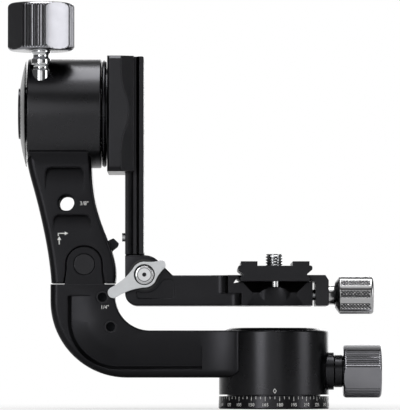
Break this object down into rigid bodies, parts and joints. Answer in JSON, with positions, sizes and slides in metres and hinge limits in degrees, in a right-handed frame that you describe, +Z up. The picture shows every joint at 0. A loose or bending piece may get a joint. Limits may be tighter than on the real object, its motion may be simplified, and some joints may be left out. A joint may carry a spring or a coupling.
{
  "type": "gimbal tripod head",
  "caption": "Folding side-mount gimbal head with a panning base, tilting axle, dovetail rail and quick-release platform for long lenses.",
  "frame": {"origin": "mouth of the tripod thread in the foot of the turning base, on the pan axis", "axes": "+Z up along the pan axis, +X towards the pan lock knob, -Y towards the side with the wing lever"},
  "size_m": [0.2047, 0.0856, 0.2217],
  "materials": {
    "black_aluminium": "satin black anodised",
    "hub_aluminium": "turned, satin black anodised",
    "housing_aluminium": "turned, satin black anodised",
    "dial_aluminium": "satin black anodised, white printed scale",
    "cap_aluminium": "satin black anodised",
    "collar_aluminium": "turned, black anodised",
    "axle_aluminium": "turned, black anodised",
    "clamp_aluminium": "satin black anodised",
    "rail_aluminium": "extruded, black anodised",
    "platform_aluminium": "satin black anodised",
    "plate_aluminium": "bead-blasted, black anodised",
    "knob_aluminium": "titanium grey anodised, polished",
    "silver_lever": "satin silver",
    "steel": "turned steel",
    "screw_steel": "stainless",
    "polished_steel": "polished stainless",
    "knurled_steel": "diamond knurled, nickel plated",
    "spring_steel": "drawn wire",
    "latch_steel": "blackened steel",
    "bronze": "machined bronze",
    "washer_nylon": "nylon"
  },
  "bodies": {
    "base": {"dial_plate": "dial_aluminium", "thread_insert": "steel", "pan_spindle": "steel", "base_screws": "screw_steel", "pan_washer": "steel", "pan_nut": "steel"},
    "lower_arm": {"lower_arm": "black_aluminium", "pan_hub": "hub_aluminium", "accessory_inserts": "latch_steel", "top_cap": "cap_aluminium", "pan_bearing_lower": "bronze", "pan_bearing_upper": "bronze", "pan_lock_collar": "collar_aluminium", "fold_pin": "steel", "fold_pin_caps": "cap_aluminium"},
    "pan_knob": {"pan_knob": "knob_aluminium", "pan_lock_screw": "screw_steel"},
    "pan_shoe": {"pan_brake_shoe": "bronze"},
    "upper_arm": {"upper_arm": "black_aluminium", "tilt_housing": "housing_aluminium", "tilt_bearing_left": "bronze", "tilt_bearing_right": "bronze", "tilt_cotter_upper": "bronze", "latch_pin": "steel", "latch_spring": "spring_steel"},
    "latch": {"fold_latch": "latch_steel"},
    "tilt_knob": {"tilt_knob": "knob_aluminium", "tilt_lock_screw": "polished_steel"},
    "tilt_cotter": {"tilt_cotter_lower": "bronze"},
    "cradle": {"tilt_axle": "axle_aluminium", "end_cap": "cap_aluminium", "cap_disc": "cap_aluminium", "axle_bolt": "screw_steel", "clamp_body": "clamp_aluminium", "clamp_guide_pins": "steel", "clamp_springs": "spring_steel", "clamp_mount_screws": "screw_steel"},
    "clamp_jaw": {"clamp_jaw": "clamp_aluminium"},
    "clamp_knob": {"clamp_knob": "knob_aluminium", "clamp_screw": "screw_steel"},
    "rail": {"rail": "rail_aluminium", "rail_stop_screw": "screw_steel"},
    "platform": {"platform_bar": "platform_aluminium", "hinge_nut": "steel", "qr_guide_pins": "steel", "qr_springs": "spring_steel"},
    "lever": {"wing_lever": "silver_lever", "hinge_bolt": "polished_steel", "hinge_washer": "washer_nylon"},
    "qr_jaw": {"qr_jaw": "clamp_aluminium"},
    "qr_knob": {"qr_knob": "knurled_steel", "qr_screw": "screw_steel"},
    "plate": {"qr_plate": "plate_aluminium", "plate_stop_screws": "screw_steel"},
    "camera_screw": {"camera_screw": "screw_steel"}
  },
  "joints": [
    {"name": "pan", "type": "hinge", "parent": "base", "child": "lower_arm", "pos_m": [0, 0, 0], "axis": [0, 0, 1], "continuous": true},
    {"name": "pan_lock", "type": "hinge", "parent": "lower_arm", "child": "pan_knob", "pos_m": [0.03, 0, 0.0207], "axis": [1, 0, 0], "range_deg": [-86.4, 0]},
    {"name": "pan_shoe_slide", "type": "slide", "parent": "lower_arm", "child": "pan_shoe", "axis": [1, 0, 0], "range_m": [-0.0003, 0]},
    {"name": "arm_lift", "type": "slide", "parent": "lower_arm", "child": "upper_arm", "axis": [0, 0, 1], "range_m": [0, 0.0275]},
    {"name": "latch_press", "type": "hinge", "parent": "upper_arm", "child": "latch", "pos_m": [-0.0908, 0, 0.08], "axis": [0, -1, 0], "range_deg": [0, 9], "stiffness_Nm_per_rad": 0.05, "springref_deg": -8.59},
    {"name": "tilt_lock", "type": "hinge", "parent": "upper_arm", "child": "tilt_knob", "pos_m": [-0.1275, -0.0193, 0.2], "axis": [0, 0, 1], "range_deg": [-86.4, 0]},
    {"name": "tilt_cotter_slide", "type": "slide", "parent": "upper_arm", "child": "tilt_cotter", "axis": [0, 0, 1], "range_m": [0, 0.0003]},
    {"name": "tilt", "type": "hinge", "parent": "upper_arm", "child": "cradle", "pos_m": [-0.115, 0, 0.16225], "axis": [-1, 0, 0], "range_deg": [0, 325]},
    {"name": "clamp_jaw_slide", "type": "slide", "parent": "cradle", "child": "clamp_jaw", "axis": [0, 1, 0], "range_m": [0, 0.003]},
    {"name": "clamp_knob_turn", "type": "hinge", "parent": "clamp_jaw", "child": "clamp_knob", "pos_m": [-0.0854, 0.03, 0.16225], "axis": [0, 1, 0], "range_deg": [0, 735]},
    {"name": "rail_slide", "type": "slide", "parent": "cradle", "child": "rail", "axis": [0, 0, 1], "range_m": [0, 0.0325]},
    {"name": "platform_fold", "type": "hinge", "parent": "rail", "child": "platform", "pos_m": [-0.07095, 0, 0.07325], "axis": [0, -1, 0], "range_deg": [0, 54]},
    {"name": "lever_turn", "type": "hinge", "parent": "platform", "child": "lever", "pos_m": [-0.07095, -0.022, 0.07325], "axis": [0, -1, 0], "range_deg": [0, 90]},
    {"name": "qr_jaw_slide", "type": "slide", "parent": "platform", "child": "qr_jaw", "axis": [1, 0, 0], "range_m": [0, 0.003]},
    {"name": "qr_knob_turn", "type": "hinge", "parent": "qr_jaw", "child": "qr_knob", "pos_m": [0.035, 0, 0.0624], "axis": [1, 0, 0], "range_deg": [0, 735]},
    {"name": "plate_slide", "type": "slide", "parent": "platform", "child": "plate", "axis": [0, 1, 0], "range_m": [-0.0052, 0.0052]},
    {"name": "camera_screw_turn", "type": "hinge", "parent": "plate", "child": "camera_screw", "pos_m": [0.0002, 0, 0.08], "axis": [0, 0, 1], "continuous": true}
  ],
  "couplings": [
    {"joint": "pan_shoe_slide", "follows": "pan_lock", "m_per_rad": 0.00019894},
    {"joint": "tilt_cotter_slide", "follows": "tilt_lock", "m_per_rad": -0.00019894},
    {"joint": "clamp_knob_turn", "follows": "clamp_jaw_slide", "rad_per_m": 4188.8},
    {"joint": "qr_knob_turn", "follows": "qr_jaw_slide", "rad_per_m": 4188.8}
  ]
}
